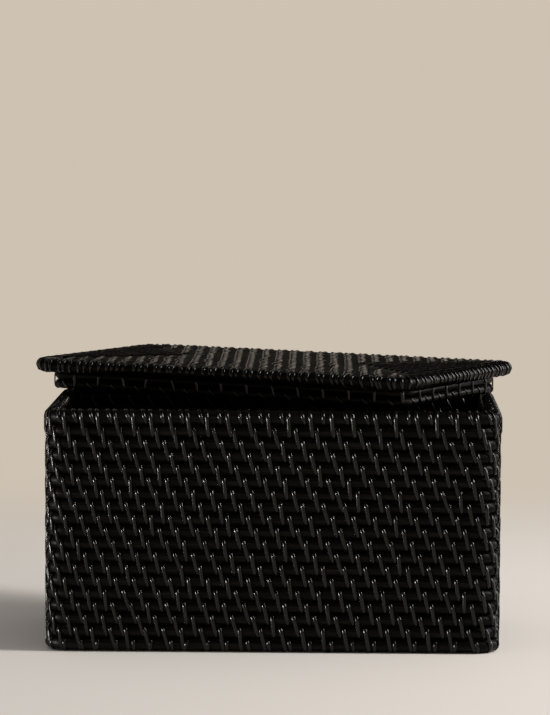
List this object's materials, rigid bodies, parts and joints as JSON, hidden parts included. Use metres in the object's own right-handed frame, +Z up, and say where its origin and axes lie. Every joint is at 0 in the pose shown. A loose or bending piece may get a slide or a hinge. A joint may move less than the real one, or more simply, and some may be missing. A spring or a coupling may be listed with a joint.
{
  "type": "rattan storage box",
  "caption": "Rectangular storage box of lashed black rattan hoops, with a flat lift-off lid whose collar drops into the mouth; the lid lies askew on the rim.",
  "frame": {"origin": "middle of the base's underside, on the surface that the box stands on", "axes": "+X along the box's length, to the right seen from its front; +Y to its back; +Z up"},
  "size_m": [0.3508, 0.2926, 0.1949],
  "materials": {
    "rattan_rod": "near-black stained rattan rod, satin, with fine lengthwise grain",
    "cane_binding": "near-black stained and lacquered split cane, glossy"
  },
  "bodies": {
    "box": {"wall_hoop_01": "rattan_rod", "wall_hoop_02": "rattan_rod", "wall_hoop_03": "rattan_rod", "wall_hoop_04": "rattan_rod", "wall_hoop_05": "rattan_rod", "wall_hoop_06": "rattan_rod", "wall_hoop_07": "rattan_rod", "wall_hoop_08": "rattan_rod", "wall_hoop_09": "rattan_rod", "wall_hoop_10": "rattan_rod", "wall_hoop_11": "rattan_rod", "wall_hoop_12": "rattan_rod", "wall_hoop_13": "rattan_rod", "wall_hoop_14": "rattan_rod", "wall_hoop_15": "rattan_rod", "wall_hoop_16": "rattan_rod", "wall_hoop_17": "rattan_rod", "wall_hoop_18": "rattan_rod", "wall_rim_hoop": "cane_binding", "base_hoop_01": "rattan_rod", "base_hoop_02": "rattan_rod", "base_hoop_03": "rattan_rod", "base_hoop_04": "rattan_rod", "base_hoop_05": "rattan_rod", "base_hoop_06": "rattan_rod", "base_hoop_07": "rattan_rod", "base_hoop_08": "rattan_rod", "base_hoop_09": "rattan_rod", "base_centre_rod": "rattan_rod"},
    "lid": {"lid_rim_rod": "cane_binding", "lid_hoop_01": "rattan_rod", "lid_hoop_02": "rattan_rod", "lid_hoop_03": "rattan_rod", "lid_hoop_04": "rattan_rod", "lid_hoop_05": "rattan_rod", "lid_hoop_06": "rattan_rod", "lid_hoop_07": "rattan_rod", "lid_hoop_08": "rattan_rod", "lid_hoop_09": "rattan_rod", "lid_centre_rod": "rattan_rod", "collar_lower_hoop": "cane_binding", "collar_upper_hoop": "rattan_rod"}
  },
  "joints": [
    {"name": "lid_lift", "type": "slide", "parent": "box", "child": "lid", "axis": [0, 0, 1], "range_m": [0, 0.15]}
  ]
}
